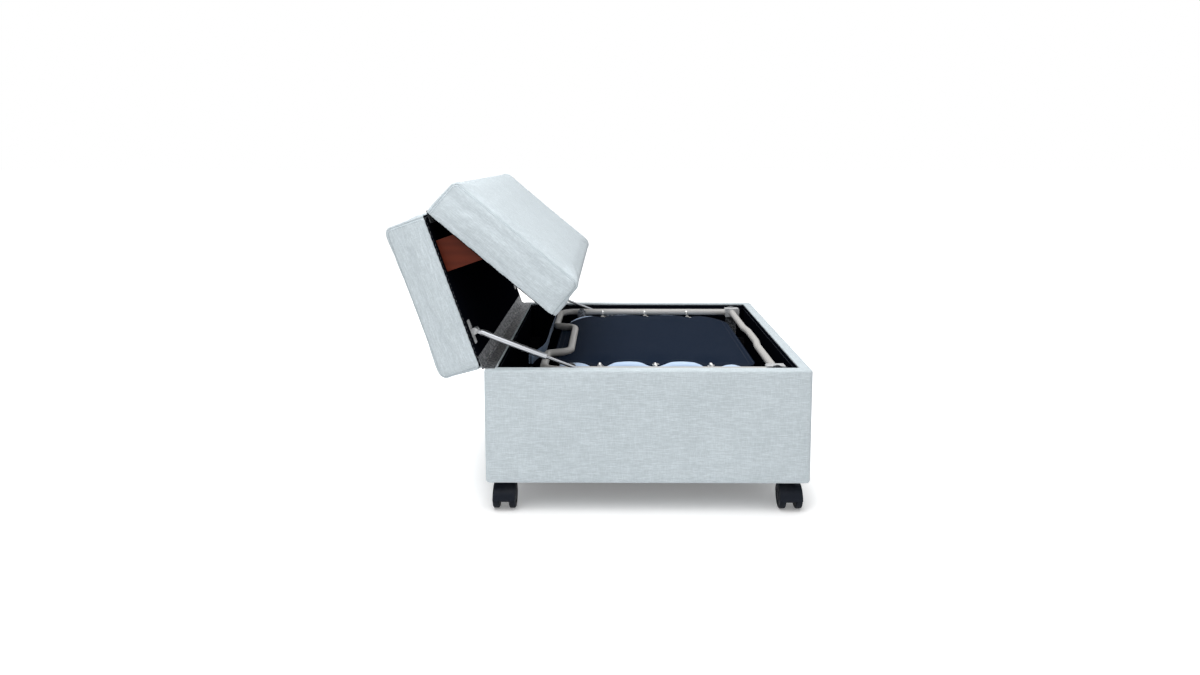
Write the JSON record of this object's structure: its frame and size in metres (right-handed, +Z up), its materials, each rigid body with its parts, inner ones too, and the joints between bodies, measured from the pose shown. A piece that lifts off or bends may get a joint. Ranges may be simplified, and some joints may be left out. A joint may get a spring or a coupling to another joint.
{
  "type": "fold out ottoman guest bed",
  "caption": "Upholstered storage box on casters with a bi-fold padded lid on gas struts, holding a folded sprung guest bed.",
  "frame": {"origin": "on the floor below the centre of the box", "axes": "+X along the box towards the end away from the lid hinge, +Y away from the camera across the box, +Z up"},
  "size_m": [1.0158, 0.84, 0.8054],
  "materials": {
    "linen": "pale blue-grey slub linen",
    "black_lining": "matt black lining cloth",
    "plywood": "raw plywood",
    "stained_ply": "reddish brown stained plywood",
    "zinc_steel": "zinc plated, satin",
    "strut_steel": "silver lacquered tube",
    "rod_steel": "polished rod",
    "painted_tube": "warm grey powder coat",
    "spring_steel": "bright wire",
    "deck_weave": "navy woven deck",
    "ticking": "pale blue-white mattress ticking",
    "webbing": "blue-grey webbing",
    "caster_plastic": "black moulded plastic"
  },
  "bodies": {
    "base": {"base_board": "plywood", "front_panel": "plywood", "back_panel": "plywood", "left_panel": "plywood", "right_panel": "plywood", "corner_blocks": "plywood", "box_cover": "linen", "box_lining": "black_lining", "underside_felt": "black_lining", "strut_wall_brackets": "zinc_steel", "rim_hinge_leaf": "zinc_steel", "rear_hinge_pin": "zinc_steel", "caster_plates": "zinc_steel", "bottom_frame": "painted_tube", "frame_clamps": "zinc_steel", "bottom_deck": "deck_weave", "bottom_mattress": "ticking", "bed_uprights": "zinc_steel"},
    "rear_lid": {"rear_lid_pad": "linen", "rear_lid_board": "plywood", "rear_lid_lining": "black_lining", "rear_hinge_leaf": "zinc_steel", "middle_hinge_rear_leaf": "zinc_steel", "strut_lid_brackets": "zinc_steel"},
    "front_lid": {"front_lid_pad": "linen", "front_lid_board": "plywood", "front_lid_lining": "black_lining", "middle_hinge_front_leaf": "zinc_steel", "middle_hinge_pin": "zinc_steel", "prop_boards": "stained_ply"},
    "near_strut_tube": {"near_strut_cylinder": "strut_steel"},
    "near_strut_shaft": {"near_strut_rod": "rod_steel"},
    "far_strut_tube": {"far_strut_cylinder": "strut_steel"},
    "far_strut_shaft": {"far_strut_rod": "rod_steel"},
    "folded_bed": {"top_side_rails": "painted_tube", "top_handle_tube": "painted_tube", "top_hinge_tube": "painted_tube", "top_corner_fittings": "zinc_steel", "top_deck": "deck_weave", "top_springs": "spring_steel", "top_mattress": "ticking", "foot_mattress": "ticking", "foot_frame": "painted_tube", "foot_deck": "deck_weave", "fold_links": "zinc_steel", "fold_legs": "painted_tube", "tie_strap": "webbing"},
    "front_left_caster": {"front_left_caster_hood": "caster_plastic"},
    "front_left_caster_left_wheel": {"front_left_left_wheel": "caster_plastic"},
    "front_left_caster_right_wheel": {"front_left_right_wheel": "caster_plastic"},
    "front_right_caster": {"front_right_caster_hood": "caster_plastic"},
    "front_right_caster_left_wheel": {"front_right_left_wheel": "caster_plastic"},
    "front_right_caster_right_wheel": {"front_right_right_wheel": "caster_plastic"},
    "back_left_caster": {"back_left_caster_hood": "caster_plastic"},
    "back_left_caster_left_wheel": {"back_left_left_wheel": "caster_plastic"},
    "back_left_caster_right_wheel": {"back_left_right_wheel": "caster_plastic"},
    "back_right_caster": {"back_right_caster_hood": "caster_plastic"},
    "back_right_caster_left_wheel": {"back_right_left_wheel": "caster_plastic"},
    "back_right_caster_right_wheel": {"back_right_right_wheel": "caster_plastic"}
  },
  "joints": [
    {"name": "rear_lid_hinge", "type": "hinge", "parent": "base", "child": "rear_lid", "pos_m": [-0.399, 0, 0.359], "axis": [0, -1, 0], "range_deg": [-109.3, 0]},
    {"name": "front_lid_fold", "type": "hinge", "parent": "rear_lid", "child": "front_lid", "pos_m": [-0.52974, 0, 0.73597], "axis": [0, -1, 0], "range_deg": [0, 149.3]},
    {"name": "near_strut_pivot", "type": "hinge", "parent": "rear_lid", "child": "near_strut_tube", "pos_m": [-0.42053, -0.37, 0.4447], "axis": [0, -1, 0], "range_deg": [0, 121.89]},
    {"name": "near_strut_slide", "type": "slide", "parent": "near_strut_tube", "child": "near_strut_shaft", "axis": [0.9319, 0, -0.3627], "range_m": [-0.13092, 0]},
    {"name": "far_strut_pivot", "type": "hinge", "parent": "rear_lid", "child": "far_strut_tube", "pos_m": [-0.42053, 0.37, 0.4447], "axis": [0, -1, 0], "range_deg": [0, 121.89]},
    {"name": "far_strut_slide", "type": "slide", "parent": "far_strut_tube", "child": "far_strut_shaft", "axis": [0.9319, 0, -0.3627], "range_m": [-0.13092, 0]},
    {"name": "bed_lift", "type": "hinge", "parent": "base", "child": "folded_bed", "pos_m": [0.32, 0, 0.338], "axis": [0, 1, 0], "range_deg": [0, 12]},
    {"name": "front_left_swivel", "type": "hinge", "parent": "base", "child": "front_left_caster", "pos_m": [-0.352, -0.364, 0.0702], "axis": [0, 0, 1], "continuous": true},
    {"name": "front_left_left_wheel_spin", "type": "hinge", "parent": "front_left_caster", "child": "front_left_caster_left_wheel", "pos_m": [-0.352, -0.382, 0.029], "axis": [1, 0, 0], "continuous": true},
    {"name": "front_left_right_wheel_spin", "type": "hinge", "parent": "front_left_caster", "child": "front_left_caster_right_wheel", "pos_m": [-0.352, -0.382, 0.029], "axis": [1, 0, 0], "continuous": true},
    {"name": "front_right_swivel", "type": "hinge", "parent": "base", "child": "front_right_caster", "pos_m": [0.352, -0.364, 0.0702], "axis": [0, 0, 1], "continuous": true},
    {"name": "front_right_left_wheel_spin", "type": "hinge", "parent": "front_right_caster", "child": "front_right_caster_left_wheel", "pos_m": [0.352, -0.382, 0.029], "axis": [1, 0, 0], "continuous": true},
    {"name": "front_right_right_wheel_spin", "type": "hinge", "parent": "front_right_caster", "child": "front_right_caster_right_wheel", "pos_m": [0.352, -0.382, 0.029], "axis": [1, 0, 0], "continuous": true},
    {"name": "back_left_swivel", "type": "hinge", "parent": "base", "child": "back_left_caster", "pos_m": [-0.352, 0.364, 0.0702], "axis": [0, 0, 1], "continuous": true},
    {"name": "back_left_left_wheel_spin", "type": "hinge", "parent": "back_left_caster", "child": "back_left_caster_left_wheel", "pos_m": [-0.352, 0.382, 0.029], "axis": [1, 0, 0], "continuous": true},
    {"name": "back_left_right_wheel_spin", "type": "hinge", "parent": "back_left_caster", "child": "back_left_caster_right_wheel", "pos_m": [-0.352, 0.382, 0.029], "axis": [1, 0, 0], "continuous": true},
    {"name": "back_right_swivel", "type": "hinge", "parent": "base", "child": "back_right_caster", "pos_m": [0.352, 0.364, 0.0702], "axis": [0, 0, 1], "continuous": true},
    {"name": "back_right_left_wheel_spin", "type": "hinge", "parent": "back_right_caster", "child": "back_right_caster_left_wheel", "pos_m": [0.352, 0.382, 0.029], "axis": [1, 0, 0], "continuous": true},
    {"name": "back_right_right_wheel_spin", "type": "hinge", "parent": "back_right_caster", "child": "back_right_caster_right_wheel", "pos_m": [0.352, 0.382, 0.029], "axis": [1, 0, 0], "continuous": true}
  ],
  "couplings": [
    {"joint": "front_lid_fold", "follows": "rear_lid_hinge", "ratio": -1.366},
    {"joint": "near_strut_pivot", "follows": "rear_lid_hinge", "ratio": -1.1151},
    {"joint": "near_strut_slide", "follows": "rear_lid_hinge", "m_per_rad": 0.068574},
    {"joint": "far_strut_pivot", "follows": "rear_lid_hinge", "ratio": -1.1151},
    {"joint": "far_strut_slide", "follows": "rear_lid_hinge", "m_per_rad": 0.068574}
  ]
}
